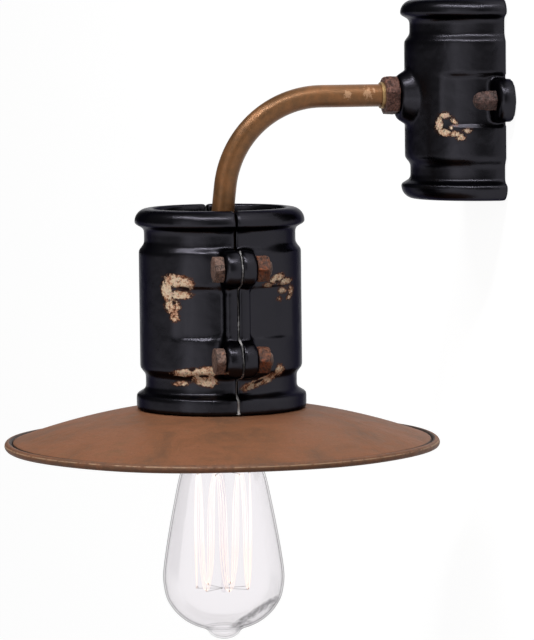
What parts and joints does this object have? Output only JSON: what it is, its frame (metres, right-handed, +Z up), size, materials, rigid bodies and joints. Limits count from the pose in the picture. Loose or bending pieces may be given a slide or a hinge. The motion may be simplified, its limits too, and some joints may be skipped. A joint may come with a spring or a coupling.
{
  "type": "wall light",
  "caption": "Wall light: half ceramic pipe coupling on the wall, bent tube arm, bolted ceramic coupling body, shallow steel shade and a clear screw-in bulb.",
  "frame": {"origin": "on the wall plane, at the middle of the wall shell and of its two wall screw holes", "axes": "+Z up, +X to the right of somebody who faces the wall, +Y into the wall; the lamp stands out along -Y"},
  "size_m": [0.2314, 0.2616, 0.3392],
  "materials": {
    "glaze": "glossy black glaze with chipped edges",
    "porcelain": "satin white",
    "shade_rust": "matt rust-coloured finish, mottled",
    "arm_bronze": "satin aged bronze",
    "rusty_steel": "rusty brown",
    "collar_rust": "reddish rusty brown",
    "brass": "satin",
    "zinc_steel": "zinc plated",
    "white_plastic": "matt",
    "brown_insulation": "smooth insulation",
    "blue_insulation": "smooth insulation",
    "earth_insulation": "green and yellow insulation",
    "holder_black": "moulded, satin",
    "bulb_glass": "clear, polished",
    "cap_metal": "bright",
    "cap_glass": "fused dark glass",
    "tin": "solder",
    "wire_metal": "fine wire",
    "glow": "glowing wire"
  },
  "bodies": {
    "fixture": {"wall_bracket": "zinc_steel", "wall_studs": "rusty_steel", "wall_cap_nuts": "rusty_steel", "wall_shell": "glaze", "terminal_block": "white_plastic", "terminal_screws": "brass", "block_screw": "zinc_steel", "earth_screw": "brass", "earth_washer": "brass", "arm_tube": "arm_bronze", "arm_collar": "collar_rust", "arm_ferrule": "arm_bronze", "arm_washer": "zinc_steel", "earth_tag": "brass", "arm_locknut": "zinc_steel", "live_lead": "brown_insulation", "neutral_lead": "blue_insulation", "earth_lead": "earth_insulation", "body_front": "glaze", "body_rear": "glaze", "clamp_bolts": "rusty_steel", "clamp_nuts": "rusty_steel", "carrier_disc": "zinc_steel", "tail_nuts": "brass", "holder_cap": "holder_black", "holder_skirt": "holder_black", "holder_insert": "porcelain", "holder_terminals": "brass", "screw_shell": "brass", "centre_contact": "brass"},
    "shade": {"shade": "shade_rust"},
    "shade_ring": {"shade_ring": "holder_black"},
    "bulb_base": {"contact_button": "tin", "cap_insulator": "cap_glass"},
    "bulb": {"bulb_cap": "cap_metal", "bulb_glass": "bulb_glass", "glass_stem": "bulb_glass", "support_wires": "wire_metal", "filament": "glow"}
  },
  "joints": [
    {"name": "bulb_travel", "type": "slide", "parent": "fixture", "child": "bulb_base", "axis": [0, 0, -1], "range_m": [0, 0.0256]},
    {"name": "bulb_turn", "type": "hinge", "parent": "bulb_base", "child": "bulb", "pos_m": [0, -0.14586, -0.16], "axis": [0, 0, -1], "range_deg": [0, 2520]},
    {"name": "shade_travel", "type": "slide", "parent": "fixture", "child": "shade", "axis": [0, 0, -1], "range_m": [0, 0.009]},
    {"name": "ring_turn", "type": "hinge", "parent": "shade", "child": "shade_ring", "pos_m": [0, -0.14586, -0.166], "axis": [0, 0, -1], "range_deg": [0, 1082]}
  ],
  "couplings": [
    {"joint": "bulb_travel", "follows": "bulb_turn", "m_per_rad": 0.00057773},
    {"joint": "ring_turn", "follows": "shade_travel", "rad_per_m": 2094.4}
  ]
}
